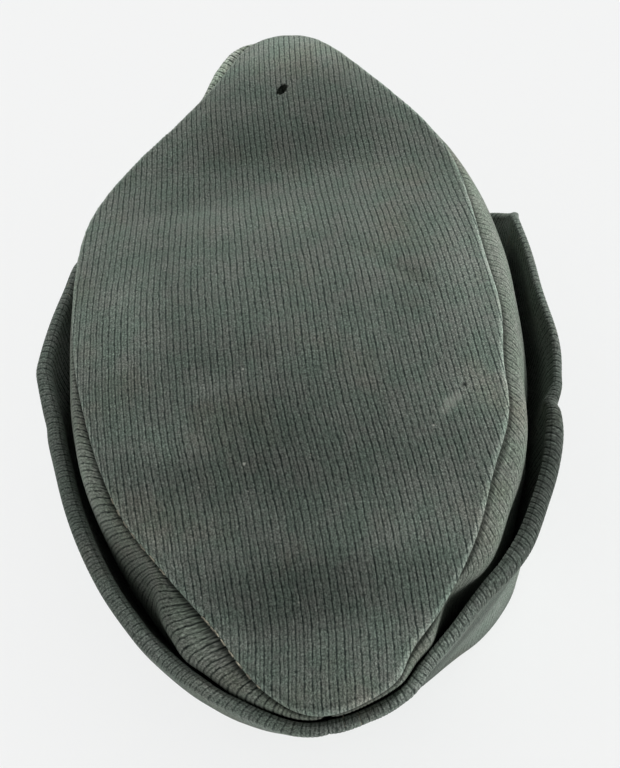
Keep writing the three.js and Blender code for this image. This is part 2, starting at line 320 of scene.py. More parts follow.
def rib_height(phase):
    """The height of the ribbed cloth by the phase across its ribs, from 0 in a groove."""
    across = np.abs(2 * (phase % 1) - 1)
    groove_beside = across ** GROOVE_SHARPNESS
    groove_middle = RIB["middle_groove"] * np.exp(-((across / 0.25) ** 2))
    return RIB["height"] * (1 - groove_beside - groove_middle)


def rib_phases(count):
    """The phases at which a cloth of that many ribs is divided."""
    return np.append((np.arange(count)[:, None] + ACROSS_RIB).ravel(), count)


def bell(distance, width):
    """A smooth hump, 1 at no distance."""
    return np.exp(-((distance / width) ** 2))


def new_mesh(name, points, faces, corner_uvs, material, replaced, rim=None):
    """A smooth mesh piece from points in millimetres, with its cloth coordinates in metres.

    rim is how far each point lies from the piece's seam or fold, in millimetres.
    """
    mesh = bpy.data.meshes.new(name)
    mesh.from_pydata((np.asarray(points) * MM).tolist(), [], faces)
    layer = mesh.uv_layers.new(name="cloth")
    layer.data.foreach_set("uv", (np.asarray(corner_uvs, np.float32) * MM).ravel())
    mesh.polygons.foreach_set("use_smooth", [True] * len(mesh.polygons))
    mesh.materials.append(material)
    if rim is not None:
        distances = mesh.attributes.new("rim", "FLOAT", "POINT")
        distances.data.foreach_set("value", np.asarray(rim, np.float32).ravel())
    mesh.validate(clean_customdata=False)
    piece = bpy.data.objects.new(name, mesh)
    bpy.context.scene.collection.objects.link(piece)
    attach(piece, "root")
    if replaced:
        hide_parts(replaced)
    return piece


# Side walls and flaps: rings round the section, one ring for each division across a rib.


def ring_normals(rings):
    """Directions out of a tube of rings, all turning the same way."""
    along = np.gradient(rings, axis=0)
    around = np.roll(rings, -1, axis=1) - np.roll(rings, 1, axis=1)
    normal = np.cross(along, around)
    return normal / np.maximum(np.linalg.norm(normal, axis=-1, keepdims=True), 1e-9)


def tube_of_rings(name, rings, along_uv, around_uv, material, replaced, side, rim):
    """A closed mesh from rings, with a cap at each end."""
    count, size = rings.shape[:2]
    index = np.arange(count * size).reshape(count, size)
    start, end = index[:-1], index[1:]
    ahead = lambda block: np.roll(block, -1, axis=1)
    quads = np.stack([start, ahead(start), ahead(end), end], axis=-1).reshape(-1, 4)
    u = np.broadcast_to(along_uv[:, None], (count, size + 1))
    v = np.broadcast_to(around_uv, (count, size + 1))
    corners = [(u[:-1, :-1], v[:-1, :-1]), (u[:-1, 1:], v[:-1, 1:]),
               (u[1:, 1:], v[1:, 1:]), (u[1:, :-1], v[1:, :-1])]
    uvs = np.stack([np.stack(corner, axis=-1) for corner in corners], axis=-2).reshape(-1, 4, 2)
    if side == RIGHT:
        quads, uvs = quads[:, ::-1], uvs[:, ::-1]
    caps = [index[0][::-1 if side == LEFT else 1], index[-1][::1 if side == LEFT else -1]]
    cap_uvs = [np.stack([np.full(size, along_uv[0]), around_uv[:-1]], axis=-1)[::-1 if side == LEFT else 1],
               np.stack([np.full(size, along_uv[-1]), around_uv[:-1]], axis=-1)[::1 if side == LEFT else -1]]
    faces = quads.tolist() + [cap.tolist() for cap in caps]
    corner_uvs = np.concatenate([uvs.reshape(-1, 2), *cap_uvs])
    return new_mesh(name, rings.reshape(-1, 3), faces, corner_uvs, material, replaced, rim)


# The wall's top edge is tucked in under the panel.
TUCK = {"depth": 0.9, "width": 1.2, "rise": 0.9}

# How far the ribs lean towards the front: on the walls below the seam in degrees, and on the flap over
# its fold and down inside as a slope.
LEAN = columns(
    "along left right flap_left flap_right",
    (0, 0, 0, 0, 0),
    (0.1, 0, 0, 0, 0),
    (0.3, 14, -4, 0, 0),
    (0.45, 28, -16, -0.06, 0),
    (0.55, 36, -26, -0.13, 0.36),
    (0.75, 38, -34, -0.13, 0.66),
    (0.84, 30, -24, -0.1, 0.6),
    (0.9, 14, -8, -0.04, 0.3),
    (1, 0, 0, 0, 0),
)
LEAN_LENGTH = 24

# The two halves meet in the front and back seams.
END_SHARE = 0.01 / run_of(HEM_LINE[LEFT])[-1]
SEAM_DITCH = {"wall": 0.9, "flap": 0.15, "width": 1.3}


def ribbed_rings(rings, phases, pitch, strength, ditch):
    """Rings raised by the ribs and sunk beside the front and back seams."""
    run = phases * pitch
    nearest_end = np.minimum(run, run[-1] - run)
    sunk = ditch * bell(nearest_end, SEAM_DITCH["width"])
    height = rib_height(phases)[:, None] * strength - sunk[:, None]
    return rings + ring_normals(rings) * height[..., None]


SHELF_STEEPEST = 2.5


def shelf_profile(below):
    """How far out the shelf is, as a share of its reach, by the depth below the seam."""
    rising = np.clip(1 - below / SHELF_DROP, 0, 1)
    return np.sqrt(1 - rising ** 2) * bell(np.maximum(below - SHELF_DROP, 0), SHELF_FADE)


def swollen_wall(side, along, up):
    """Points on a wall's outer face with its shelf, and the directions out of the cloth there."""
    along, up = np.broadcast_arrays(along, up)
    point, out = wall_at(side, along, up)
    below = (1 - up) * point_at(SEAM_LINE[side], along)[..., 2]
    reach = smooth_column(SHELF, "along", SIDE_NAME[side], along)
    lift = smooth_column(SHELF, "along", "lift", along) * (side == LEFT)
    profile = shelf_profile(below)
    point = point + out * (reach * profile)[..., None]
    point[..., 2] += lift * profile
    nearby = 0.2
    slope = reach * (shelf_profile(below + nearby) - shelf_profile(below)) / nearby
    tilt = np.arctan(np.clip(slope, 0, SHELF_STEEPEST))[..., None]
    return point, out * np.cos(tilt) + np.array([0, 0, 1]) * np.sin(tilt), below


WALL_LENGTH = 307
# How strongly the ribs show on the wall's inner face, and how high its small and large wrinkles are.
WALL_RELIEF = {"inner_ribs": 0.35, "pucker": 0.16, "wrinkle": 0.6}


def make_wall(side, material):
    """A side wall: its outer face, a rounded top edge under the panel, its inner face and its foot."""
    name = SIDE_NAME[side]
    count = round(WALL_LENGTH / RIB["wall"])
    phases = rib_phases(count)
    share = END_SHARE + (1 - 2 * END_SHARE) * phases / count
    # Round the section: how far up, how deep in the cloth, how far above the edge, how strong the ribs.
    outer = [(up, 0, 0, 1) for up in 1 - np.linspace(1, 0, 35) ** 1.8]
    edge = [(1, (1 - math.cos(turn)) / 2, math.sin(turn), 1) for turn in np.linspace(0, math.pi, 6)[1:-1]]
    inner = [(up, 1, 0, WALL_RELIEF["inner_ribs"]) for up in 1 - np.linspace(0, 1, 16) ** 1.8]
    up, depth, above, strength = np.array(outer + edge + inner).T
    depth_below = (1 - up)[None, :] * point_at(SEAM_LINE[side], share)[:, 2:]
    reach = smooth_column(SHELF, "along", name, share)[:, None]
    path = depth_below + reach * shelf_profile(depth_below)
    lean = np.tan(np.radians(smooth_column(LEAN, "along", name, share)))[:, None]
    ends = np.clip(np.minimum(share, 1 - share) / 0.06, 0, 1)[:, None]
    shift = lean * ends * LEAN_LENGTH * (1 - np.exp(-path / LEAN_LENGTH))
    leaning = share[:, None] - shift / WALL_LENGTH
    point, out, below = swollen_wall(side, leaning, up[None, :])
    outer_face = depth < 0.5
    tucked = TUCK["depth"] * bell(below, TUCK["width"]) * outer_face
    pucker = random_waves(13, 9, 5)(leaning * WALL_LENGTH, 0 * up) * bell(below - 2, 3) * outer_face
    wrinkle = random_waves(11 if side == LEFT else 12, 90, 22)(leaning * WALL_LENGTH, point[..., 2])
    relief = WALL_RELIEF["pucker"] * pucker + WALL_RELIEF["wrinkle"] * wrinkle * np.sin(math.pi * up)
    amount = relief - CLOTH * depth - tucked
    rings = point + out * amount[..., None]
    middle_ring = rings[len(rings) // 2]
    around = np.append(run_of(middle_ring), 0)
    around[-1] = around[-2] + CLOTH
    sign = np.array([side, 1, 1])
    ribbed = ribbed_rings(rings * sign, phases, RIB["wall"], strength, SEAM_DITCH["wall"]) * sign
    ribbed[..., 2] = np.maximum(ribbed[..., 2] + TUCK["rise"] * above, 0)
    return tube_of_rings("cap_side_" + name, ribbed, phases * RIB["wall"], around, material,
                         "crown_side_" + name, side, path + 100 * (depth > 0.5))


# Kinks of the flap's fold: where along it, how wide, and how far the fold stands out and drops there.
KINKS = {
    LEFT: columns("along width out drop", (0.5, 0.012, 0.5, 0), (0.565, 0.012, -0.6, 0.5)),
    RIGHT: columns("along width out drop", (0.585, 0.012, 0.5, 0), (0.611, 0.008, -1.4, 0.8),
                   (0.64, 0.014, 0.4, 0)),
}
FOLD_LENGTH = 350
ROLL_FADE = 1.1
FOOT_ROUND = 1.4
# How far the flap's fold wanders in height and sideways, and how high the ripples of its faces are.
FLAP_WAVES = {"height": 0.5, "sideways": 0.4, "ripple": 0.6}


def make_flap(side, material):
    """A flap half: outer face, round fold, inner face, and a foot that is flat where it rests."""
    name = SIDE_NAME[side]
    count = round(FOLD_LENGTH / RIB["flap"])
    phases = rib_phases(count)
    share = END_SHARE + (1 - 2 * END_SHARE) * phases / count
    height = smooth_column(FOLD, "along", "height", share)
    stand_off = smooth_column(FOLD, "along", name, share)
    ends = np.sin(math.pi * share)
    wobble = random_waves(21 if side == LEFT else 22, 120, 35)
    height = height + FLAP_WAVES["height"] * ends * wobble(share * FOLD_LENGTH, 0)
    stand_off = stand_off + FLAP_WAVES["sideways"] * ends * wobble(share * FOLD_LENGTH, 200)
    kinks = KINKS[side]
    for k in range(len(kinks["along"])):
        hump = bell(share - kinks["along"][k], kinks["width"][k])
        stand_off = stand_off + kinks["out"][k] * hump
        height = height - kinks["drop"][k] * hump
    roll = smooth_column(ROLL, "along", name, share)[:, None]
    # Round the section: how far up the straight part, and the turn round the fold or the foot.
    outer = [(t, math.pi / 2) for t in 1 - np.linspace(1, 0, 24) ** 1.5]
    fold = [(1, turn) for turn in np.linspace(math.pi / 2, -math.pi / 2, 15)[1:-1]]
    inner = [(t, -math.pi / 2) for t in 1 - np.linspace(0, 1, 20) ** 1.5]
    foot = [(0, -math.pi / 2 - turn) for turn in np.linspace(0, math.pi, 7)[1:-1]]
    straight, turn = np.array(outer + fold + inner + foot).T
    high = height[:, None] - roll / 2
    z = FOOT_ROUND + (high - FOOT_ROUND) * straight[None, :]
    thickness = FLAP + (roll - FLAP) * bell(high - z, ROLL_FADE * roll)
    is_foot = np.cos(turn) < -1e-6
    z = np.maximum(z + np.where(is_foot, FOOT_ROUND, roll / 2) * np.cos(turn), 0)
    wall_top = point_at(SEAM_LINE[side], share)[:, 2] - CLOTH - GAP
    inner_depth = np.maximum(high - z, 0) * (np.sin(turn) < -0.5)
    over_fold = np.clip(math.pi / 2 - turn, 0, math.pi) * roll / 2
    path = over_fold + inner_depth
    slope = smooth_column(LEAN, "along", "flap_" + SIDE_NAME[side], share)
    lean = slope[:, None] * LEAN_LENGTH * (1 - np.exp(-path / LEAN_LENGTH))
    leaning = np.clip(share[:, None] - lean / FOLD_LENGTH, END_SHARE, 1 - END_SHARE)
    point, out = wall_at(side, leaning, z / wall_top[:, None])
    rise = np.clip(z / height[:, None], 0, 1)
    flared = FLARE["even"] * rise + (1 - FLARE["even"]) * rise ** FLARE["power"]
    off = GAP + (stand_off[:, None] - GAP) * flared + FLAP - thickness / 2 + np.sin(turn) * thickness / 2
    wrinkle = random_waves(31 if side == LEFT else 32, 80, 24)(share[:, None] * 320, z)
    ripple = FLAP_WAVES["ripple"] * wrinkle * np.sin(math.pi * rise)
    rings = point + out * (off + ripple)[..., None]
    around = run_of(rings[len(rings) // 2])
    around = np.append(around, around[-1] + 1)
    sign = np.array([side, 1, 1])
    ribbed = ribbed_rings(rings * sign, phases, RIB["flap"], 1.0, SEAM_DITCH["flap"]) * sign
    ribbed[..., 2] = np.maximum(ribbed[..., 2], 0)
    return tube_of_rings("cap_flap_" + name, ribbed, phases * RIB["flap"], around, material,
                         "flap_" + name, side, height[:, None] - z + 100 * (np.sin(turn) < -0.5))


# The top panel.


def seam_by_y(side):
    """The half seam's places, with y rising all the way."""
    line = SEAM_LINE[side].copy()
    line[:, 1] = np.maximum.accumulate(line[:, 1])
    return line


SEAM_BY_Y = {side: seam_by_y(side) for side in (LEFT, RIGHT)}
SEAM_RING = np.concatenate([SEAM_LINE[LEFT], SEAM_LINE[RIGHT][::-1]])


def seam_at(side, y, column):
    """A column of the half seam at y: 0 for x, 2 for z."""
    return np.interp(y, SEAM_BY_Y[side][:, 1], SEAM_BY_Y[side][:, column])


def seam_distance(x, y):
    """The level distance of points from the seam round the panel."""
    place = np.stack([np.ravel(x), np.ravel(y)], axis=-1)
    start, end = SEAM_RING[:-1, :2], SEAM_RING[1:, :2]
    step = end - start
    length = np.maximum((step ** 2).sum(axis=1), 1e-9)
    nearest = np.empty(len(place))
    for first in range(0, len(place), 4000):
        block = place[first:first + 4000, None, :]
        t = np.clip(((block - start) * step).sum(axis=-1) / length, 0, 1)
        gap = block - start - step * t[..., None]
        nearest[first:first + 4000] = np.sqrt((gap ** 2).sum(axis=-1).min(axis=1))
    return nearest.reshape(np.shape(x))


panel_waves = random_waves(41, 110, 30)


def panel_height(x, y):
    """The height of the panel's smooth outer face."""
    right, left = seam_at(RIGHT, y, 0), seam_at(LEFT, y, 0)
    across = np.clip((x - right) / np.maximum(left - right, 1e-6), 0, 1)
    edge = seam_at(RIGHT, y, 2) + (seam_at(LEFT, y, 2) - seam_at(RIGHT, y, 2)) * across
    middle = smooth_column(SEAM, "y", "middle", y)
    inside = 1 - np.abs(2 * across - 1) ** PANEL_CROWN
    z = edge + (middle - edge) * inside
    relief = 0.35 * panel_waves(x, y)
    for k in range(len(DENTS["x"])):
        turn = math.radians(DENTS["turn"][k])
        dx, dy = x - DENTS["x"][k], y - DENTS["y"][k]
        run = dx * math.cos(turn) + dy * math.sin(turn)
        side = dy * math.cos(turn) - dx * math.sin(turn)
        relief = relief + DENTS["height"][k] * bell(run, DENTS["long"][k]) * bell(side, DENTS["wide"][k])
    return z + relief * np.clip(inside * 2.5, 0, 1)


def panel_rows(step=3.2):
    """The y of the panel's rows, close together where the seam turns and round the hole."""
    y = np.linspace(SEAM["y"][0], SEAM["y"][-1], 6000)
    run = sum(np.interp(y, line[:, 1], run_of(SEAM_LINE[side])) for side, line in SEAM_BY_Y.items())
    near_hole = np.abs(y - HOLE["y"]) < 4.2
    run = run + np.cumsum(near_hole * (y[1] - y[0])) * step / 0.42
    return np.interp(np.arange(step / 2, run[-1] - step / 3, step), run, y)


rib_waves = random_waves(51, 150, 45)

# How far the ribs of the panel wander sideways, at the left, in the middle and at the right.
DRIFT = columns(
    "y left middle right",
    (-146, 0, 0, 0),
    (-100, 0, -1.5, -1.5),
    (-60, -1.5, -1, 0.8),
    (-15, -4, 0.8, 5),
    (45, -4, 3, 9.5),
    (85, -1.5, 7, 13.5),
    (115, 0, 8, 15),
    (141, -1, 7, 14.5),
)
DRIFT_REACH = 60


def rib_drift(x, y):
    """How far the ribs have wandered sideways at points of the panel."""
    left, middle, right = (smooth_column(DRIFT, "y", name, y) for name in ("left", "middle", "right"))
    share = np.clip(x / DRIFT_REACH, -1.4, 1.4)
    bend = (left + right) / 2 - middle
    return middle + (left - right) / 2 * share + bend * share ** 2 + 0.5 * rib_waves(x, y)


def panel_row(y, keep):
    """One row of the panel from right to left: x, phase across the ribs, and the rib division or None."""
    right, left = seam_at(RIGHT, y, 0), seam_at(LEFT, y, 0)
    x = np.linspace(right, left, 300)
    z = panel_height(x, np.full_like(x, y))
    run = run_of(np.stack([x, z], axis=-1))
    zero = np.clip(0, right, left)
    run = run - np.interp(zero, x, run) + zero
    phase = (run + rib_drift(x, np.full_like(x, y))) / RIB["panel"]
    first, last = math.floor(phase[0]), math.ceil(phase[-1])
    divisions = [(rib + part, rib * len(ACROSS_RIB) + k) for rib in range(first, last)
                 for k, part in enumerate(ACROSS_RIB) if k % keep == 0]
    clear = 0.18
    row = [(right, phase[0], None)]
    for at, number in divisions:
        place = np.interp(at, phase, x)
        if right + clear < place < left - clear and phase[0] < at < phase[-1]:
            row.append((place, at, number))
    row.append((left, phase[-1], None))
    return row


def stitch_rows(rows, starts):
    """Faces between rows of points that share rib divisions, and whose ends lie on the seam."""
    faces = []
    for k in range(len(rows) - 1):
        a, b = rows[k], rows[k + 1]
        at_a = {number: starts[k] + i for i, (_, _, number) in enumerate(a) if number is not None}
        at_b = {number: starts[k + 1] + i for i, (_, _, number) in enumerate(b) if number is not None}
        common = sorted(set(at_a) & set(at_b))
        a_ids = range(starts[k], starts[k] + len(a))
        b_ids = range(starts[k + 1], starts[k + 1] + len(b))
        if not common:
            faces.append([*a_ids, *reversed(b_ids)])
            continue
        low_a, low_b = at_a[common[0]], at_b[common[0]]
        high_a, high_b = at_a[common[-1]], at_b[common[-1]]
        faces.append([*range(a_ids[0], low_a + 1), *range(low_b, b_ids[0] - 1, -1)])
        for here, there in zip(common, common[1:]):
            faces.append([at_a[here], at_a[there], at_b[there], at_b[here]])
        faces.append([*range(high_a, a_ids[-1] + 1), *range(b_ids[-1], high_b - 1, -1)])
    return faces


# The panel's edge is rolled over, and thinner where the wall is tucked in under it.
EDGE_ROLL = 0.8
EDGE = {"thickness": 1.2, "width": 3.0}


def panel_points(x, y, depth):
    """Points on the panel at a depth below its outer face, and the direction out of it."""
    step = 0.4
    z = panel_height(x, y)
    slope_x = (panel_height(x + step, y) - panel_height(x - step, y)) / (2 * step)
    slope_y = (panel_height(x, y + step) - panel_height(x, y - step)) / (2 * step)
    inside = np.clip(seam_distance(x, y) / 3, 0, 1)
    out = np.stack([-slope_x * inside, -slope_y * inside, np.ones_like(z)], axis=-1)
    out /= np.linalg.norm(out, axis=-1, keepdims=True)
    thinner = np.clip(1 - seam_distance(x, y) / EDGE["width"], 0, 1)
    below = depth + (min(depth, EDGE["thickness"]) - depth) * thinner
    return np.stack([x, y, z - below], axis=-1), out


edge_pucker = random_waves(61, 9, 5)


def sheet_of_rows(keep, depth, rib_strength):
    """One face of the panel: points, cloth coordinates, faces, and the points along its edge."""
    ys = panel_rows()
    rows = [panel_row(y, keep) for y in ys]
    starts = np.concatenate([[0], np.cumsum([len(row) for row in rows])])
    x = np.concatenate([[place for place, _, _ in row] for row in rows])
    phase = np.concatenate([[at for _, at, _ in row] for row in rows])
    y = np.concatenate([np.full(len(row), at) for row, at in zip(rows, ys)])
    tips = [(SEAM["left"][k], SEAM["y"][k]) for k in (0, -1)]
    x, y = np.append(x, [tip[0] for tip in tips]), np.append(y, [tip[1] for tip in tips])
    phase = np.append(phase, [tip[0] / RIB["panel"] for tip in tips])
    faces = stitch_rows(rows, starts.tolist())
    nose, back = len(x) - 2, len(x) - 1
    faces.append([nose, *range(starts[1] - 1, -1, -1)])
    faces.append([*range(starts[-2], starts[-1]), back])
    points, out = panel_points(x, y, depth)
    distance = seam_distance(x, y)
    if depth == 0:
        rolled = EDGE_ROLL - np.sqrt(EDGE_ROLL ** 2 - np.clip(EDGE_ROLL - distance, 0, EDGE_ROLL) ** 2)
        points[:, 2] -= rolled * 0.9
        points[:, 2] += 0.3 * bell(distance - 2.6, 1.6)
        points[:, 2] += 0.14 * edge_pucker(x, y) * bell(distance - 1.5, 3)
    points = points + out * (rib_height(phase) * rib_strength)[:, None]
    edge = [nose, *(starts[:-1].tolist()), back, *(starts[1:] - 1).tolist()[::-1]]
    uvs = np.stack([phase * RIB["panel"], y], axis=-1)
    return points, uvs, faces, edge, distance


def hole_radius(points):
    """How far points lie from the hole's middle, as a share of its rim."""
    turn = math.radians(HOLE["slant"])
    dx, dy = points[:, 0] - HOLE["x"], points[:, 1] - HOLE["y"]
    long = -dx * math.sin(turn) + dy * math.cos(turn)
    wide = dx * math.cos(turn) + dy * math.sin(turn)
    return np.hypot(long / (HOLE["length"] / 2), wide / (HOLE["width"] / 2))


def open_hole(points, faces, widening):
    """Leaves out the faces in the hole, draws the rim's points to it, and gives the rim as a loop."""
    radius = hole_radius(points) / widening
    inside = radius < 1
    kept = [face for face in faces if not any(inside[i] for i in face)]
    used = {}
    for face in kept:
        for a, b in zip(face, face[1:] + face[:1]):
            used[(a, b)] = used.get((a, b), 0) + 1
    near = radius < 2.4
    rim = {a: b for (a, b) in used if (b, a) not in used and near[a] and near[b]}
    centre = np.array([HOLE["x"], HOLE["y"]])
    for i in rim:
        ragged = 1.02 + 0.07 * math.sin(3.1 * points[i, 0] + 5.7 * points[i, 1])
        points[i, :2] = centre + (points[i, :2] - centre) * ragged / radius[i]
    loop = [next(iter(rim))]
    while rim[loop[-1]] != loop[0]:
        loop.append(rim[loop[-1]])
    return kept, loop


def make_top(material):
    """The top panel: a ribbed outer face, a plainer inner face, the edge between them and the hole."""
    outer, outer_uvs, outer_faces, outer_edge, outer_rim_distance = sheet_of_rows(1, 0, 1.0)
    inner, inner_uvs, inner_faces, inner_edge, inner_rim_distance = sheet_of_rows(3, CLOTH, 0.3)
    outer_faces, outer_rim = open_hole(outer, outer_faces, 1)
    inner_faces, inner_rim = open_hole(inner, inner_faces, 2.4)
    shift = len(outer)
    points = np.concatenate([outer, inner])
    uvs = np.concatenate([outer_uvs, inner_uvs])
    faces = outer_faces + [[i + shift for i in reversed(face)] for face in inner_faces]
    pairs = list(zip(outer_edge, inner_edge))
    for (a, b), (c, d) in zip(pairs, pairs[1:] + pairs[:1]):
        faces.append([a, c, d + shift, b + shift])
    corner_uvs = uvs[np.concatenate([np.array(face) for face in faces])]
    rim = np.concatenate([outer_rim_distance, inner_rim_distance])
    top = new_mesh("cap_top", points, faces, corner_uvs, material, "crown_top", rim)
    shape = bmesh.new()
    shape.from_mesh(top.data)
    shape.verts.ensure_lookup_table()

    def rim_edges(loop, offset):
        ends = [{i + offset, j + offset} for i, j in zip(loop, loop[1:] + loop[:1])]
        return [edge for i in loop for edge in shape.verts[i + offset].link_edges
                if {v.index for v in edge.verts} in ends]

    edges = list(set(rim_edges(outer_rim, 0) + rim_edges(inner_rim, shift)))
    bmesh.ops.bridge_loops(shape, edges=edges)
    shape.faces.ensure_lookup_table()
    for face in shape.faces:
        face.smooth = True
    bmesh.ops.recalc_face_normals(shape, faces=shape.faces)
    shape.to_mesh(top.data)
    shape.free()
    return top


# Materials.


class Tree:
    """Short names for making the nodes of a material."""

    def __init__(self, name):
        self.material = bpy.data.materials.new(name)
        self.material.use_nodes = True
        self.nodes = self.material.node_tree.nodes
        self.links = self.material.node_tree.links
        self.shader = self.nodes["Principled BSDF"]

    def add(self, kind, inputs=(), **settings):
        node = self.nodes.new("ShaderNode" + kind)
        for key, value in settings.items():
            setattr(node, key, value)
        for key, value in dict(inputs).items():
            self.put(node.inputs[key], value)
        return node

    def put(self, socket, value):
        if isinstance(value, bpy.types.NodeSocket):
            self.links.new(value, socket)
        else:
            socket.default_value = value

    def math(self, operation, a, b=0.0, clamp=False):
        return self.add("Math", {0: a, 1: b}, operation=operation, use_clamp=clamp).outputs[0]

    def ease(self, value, low, high, to_low=0.0, to_high=1.0):
        """A smooth step from to_low to to_high as the value goes from low to high."""
        inputs = {"Value": value, "From Min": low, "From Max": high, "To Min": to_low, "To Max": to_high}
        return self.add("MapRange", inputs, interpolation_type="SMOOTHSTEP").outputs[0]

    def noise(self, vector, scale, detail=3.0, roughness=0.55):
        inputs = {"Vector": vector, "Scale": scale, "Detail": detail, "Roughness": roughness}
        return self.add("TexNoise", inputs).outputs[0]

    def patch(self, place, patch):
        """A soft round patch on the part: a factor in its middle that fades to 1 at its edge."""
        x, y, z, long, wide, high, turn, factor = patch
        inputs = {"Vector": place, "Location": (x * MM, y * MM, z * MM),
                  "Rotation": (0, 0, math.radians(turn)), "Scale": (long * MM, wide * MM, high * MM)}
        local = self.add("Mapping", inputs, vector_type="TEXTURE").outputs[0]
        distance = self.add("VectorMath", {0: local}, operation="LENGTH").outputs["Value"]
        return self.ease(distance, 0.0, 1.0, factor, 1.0)

    def mix(self, factor, a, b, blend="MIX"):
        node = self.add("Mix", data_type="RGBA", blend_type=blend)
        for key, value in (("Factor_Float", factor), ("A_Color", a), ("B_Color", b)):
            self.put(next(s for s in node.inputs if s.identifier == key), value)
        return next(s for s in node.outputs if s.identifier == "Result_Color")


def wool_material(name, pitch, tones, painted_rim_shading, patches=None, marks=()):
    """Ribbed wool: broken furrows between ribs of mixed fibres, painted dark as shade in the grooves, with
    lint, and with painted light and shade by the distance from the seam or fold and in broad patches.
    """
    tree = Tree(name)
    cloth = tree.add("UVMap", uv_map="cloth").outputs[0]
    place = tree.add("TexCoord").outputs["Object"]
    long_cells = tree.add("Mapping", {"Vector": cloth, "Scale": (1.0, 0.3, 1.0)}).outputs[0]
    short_cells = tree.add("Mapping", {"Vector": cloth, "Scale": (1.0, 0.7, 1.0)}).outputs[0]
    across_ribs = tree.add("SeparateXYZ", {0: cloth}).outputs[0]
    sway = tree.ease(tree.noise(place, 190.0, 1.0), 0.25, 0.75, -0.07, 0.07)
    turns = tree.math("ADD", tree.math("DIVIDE", across_ribs, pitch * MM), sway)
    across = tree.math("MULTIPLY", tree.math("PINGPONG", turns, 0.5), 2.0)
    fuzz = tree.noise(short_cells, 2300.0, 3.0, 0.75)
    yarns = tree.noise(short_cells, 1050.0, 3.0, 0.7)
    worn = tree.noise(long_cells, 430.0, 3.0, 0.7)
    # The furrows beside the ribs, and the faint ones down their middles, are painted dark with the groove
    # tone: painted shade on top of the mesh's real grooves.
    broken = tree.ease(tree.noise(short_cells, 760.0, 2.0), 0.3, 0.6, 0.6, 1.0)
    ragged = tree.math("ADD", across, tree.ease(yarns, 0.3, 0.7, -0.09, 0.09))
    furrow = tree.ease(ragged, 0.05, 0.4, 1.0, 0.0)
    groove = tree.math("MULTIPLY", furrow, tree.ease(worn, 0.28, 0.56, 0.6, 1.12))
    behind = tree.ease(tree.add("SeparateXYZ", {0: place}).outputs[1], -0.06, 0.05, 0.3, 0.8)
    uneven = tree.ease(tree.noise(long_cells, 210.0, 3.0, 0.7), 0.34, 0.62, 0.3, 0.95)
    doubled = tree.math("MULTIPLY", uneven, behind)
    middle = tree.math("MULTIPLY", tree.ease(ragged, 0.62, 1.0, 0.0, 1.0), doubled)
    dark = tree.math("MULTIPLY", tree.math("MAXIMUM", groove, middle), broken)
    tinted = tree.ease(tree.noise(place, 85.0, 5.0, 0.75), 0.34, 0.66, 0.0, 1.0)
    rib = tree.mix(tinted, tones["rib"], tones["rib_faded"])
    colour = tree.mix(dark, rib, tones["groove"])
    bright_fibres = tree.ease(fuzz, 0.32, 0.7, 0.45, 1.95)
    speckle = tree.math("MULTIPLY", bright_fibres, tree.ease(yarns, 0.3, 0.7, 0.72, 1.3))
    mottled = tree.ease(tree.noise(place, 26.0, 4.0), 0.3, 0.7, 0.92, 1.08)
    shade = tree.math("MULTIPLY", speckle, mottled)
    browned = tree.ease(tree.noise(place, 34.0, 3.0), 0.5, 0.72, 0.0, 0.5)
    colour = tree.mix(browned, colour, tones["browned"], "MULTIPLY")
    rim = tree.add("Attribute", attribute_name="rim").outputs["Fac"]
    # Painted light and shade by the distance from the seam or fold.
    for near, far, at_near, at_far in painted_rim_shading:
        shade = tree.math("MULTIPLY", shade, tree.ease(rim, near, far, at_near, at_far))
    # Painted light and shade in broad patches.
    for patch in patches or ():
        shade = tree.math("MULTIPLY", shade, tree.patch(place, patch))
    grey = tree.add("CombineColor", {0: shade, 1: shade, 2: shade}).outputs[0]
    colour = tree.mix(1.0, colour, grey, "MULTIPLY")
    lint = tree.add("TexVoronoi", {"Vector": short_cells, "Scale": 360.0}, feature="F1")
    chosen = tree.ease(tree.add("SeparateXYZ", {0: lint.outputs["Color"]}).outputs[0], 0.7, 0.95, 0.0, 0.6)
    dot = tree.math("MULTIPLY", tree.ease(lint.outputs["Distance"], 0.03, 0.1, 1.0, 0.0), chosen)
    colour = tree.mix(dot, colour, PALE_LINT)
    for mark in marks:
        away = tree.add("VectorMath", {0: place, 1: mark["at"]}, operation="DISTANCE").outputs["Value"]
        ragged_away = tree.math("MULTIPLY", away, tree.ease(yarns, 0.2, 0.8, 0.6, 1.5))
        inside = tree.ease(ragged_away, mark["radius"] * 0.3, mark["radius"], mark["strength"], 0.0)
        colour = tree.mix(inside, colour, mark["colour"])
    relief = tree.math("ADD", tree.math("MULTIPLY", fuzz, 0.6), yarns)
    bump = tree.add("Bump", {"Height": relief, "Strength": 0.6, "Distance": 0.0003}).outputs[0]
    tree.put(tree.shader.inputs["Base Color"], colour)
    tree.put(tree.shader.inputs["Normal"], bump)
    tree.put(tree.shader.inputs["Roughness"], 0.95)
    tree.put(tree.shader.inputs["Specular IOR Level"], 0.15)
    tree.put(tree.shader.inputs["Sheen Weight"], 0.16)
    tree.put(tree.shader.inputs["Sheen Roughness"], 0.5)
    tree.put(tree.shader.inputs["Sheen Tint"], (0.72, 0.85, 0.72, 1))
    return tree.material


# The tint of the cloth's browner patches.
BROWNED = (1.05, 0.92, 0.86, 1)
# Each cloth's groove tone is the painted shade of the furrows between its ribs.
TOP_TONES = {
    "rib": (0.1, 0.128, 0.106, 1),
    "rib_faded": (0.124, 0.136, 0.12, 1),
    "groove": (0.02, 0.027, 0.024, 1),
    "browned": BROWNED,
}
# The walls are the same cloth as the top panel, in lighter tones as painted light on them.
SIDE_TONES = {
    "rib": (0.155, 0.187, 0.15, 1),
    "rib_faded": (0.178, 0.19, 0.166, 1),
    "groove": (0.024, 0.03, 0.026, 1),
    "browned": BROWNED,
}
